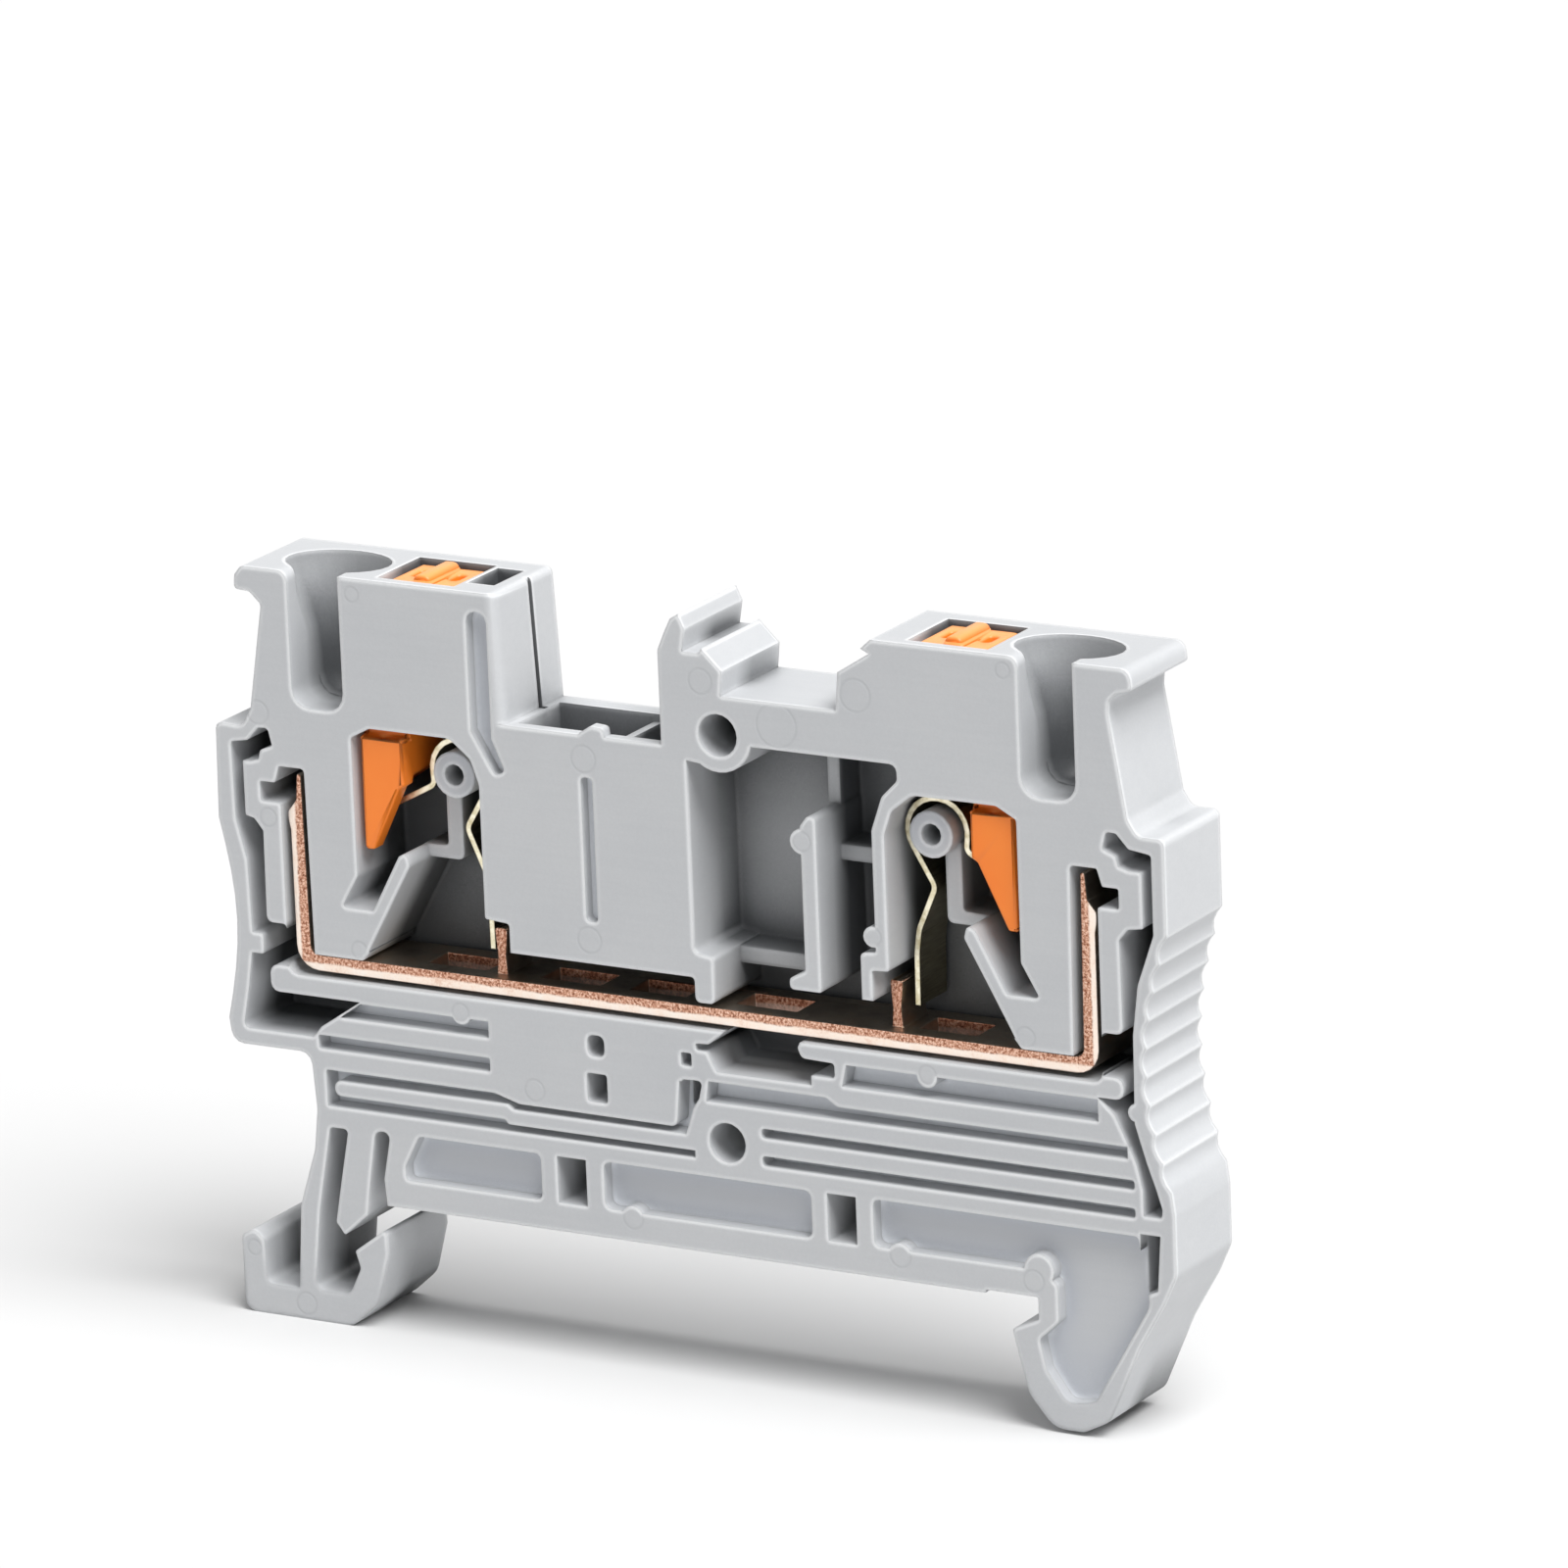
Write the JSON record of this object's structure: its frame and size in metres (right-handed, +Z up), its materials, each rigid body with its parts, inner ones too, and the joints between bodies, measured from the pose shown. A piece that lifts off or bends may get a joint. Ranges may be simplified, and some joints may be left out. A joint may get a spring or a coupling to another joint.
{
  "type": "push-in terminal block",
  "caption": "Slim rail-mounted terminal block with an open side: moulded housing, bent current bar, clamp springs and push-down release pushers.",
  "frame": {"origin": "middle of the rail seat face, halfway across the width", "axes": "+X along the block towards its fixed hook, +Y across it from the open side to the closed side, +Z up from the rail"},
  "size_m": [0.0486, 0.0052, 0.0356],
  "materials": {
    "housing": "fine matt moulded polyamide",
    "current_bar": "tinned copper with bare sheared edges",
    "spring": "bright stainless strip",
    "pusher": "satin moulded polyamide"
  },
  "bodies": {
    "block": {"housing": "housing", "current_bar": "current_bar", "spring_left": "spring", "spring_right": "spring"},
    "pusher_left": {"pusher_left": "pusher"},
    "pusher_right": {"pusher_right": "pusher"}
  },
  "joints": [
    {"name": "pusher_left_slide", "type": "slide", "parent": "block", "child": "pusher_left", "axis": [0, 0, -1], "range_m": [0, 0.0023], "stiffness_N_per_m": 2000, "springref_m": -0.0005, "deforming": ["spring_left"]},
    {"name": "pusher_right_slide", "type": "slide", "parent": "block", "child": "pusher_right", "axis": [0, 0, -1], "range_m": [0, 0.0023], "stiffness_N_per_m": 2000, "springref_m": -0.0005, "deforming": ["spring_right"]}
  ]
}
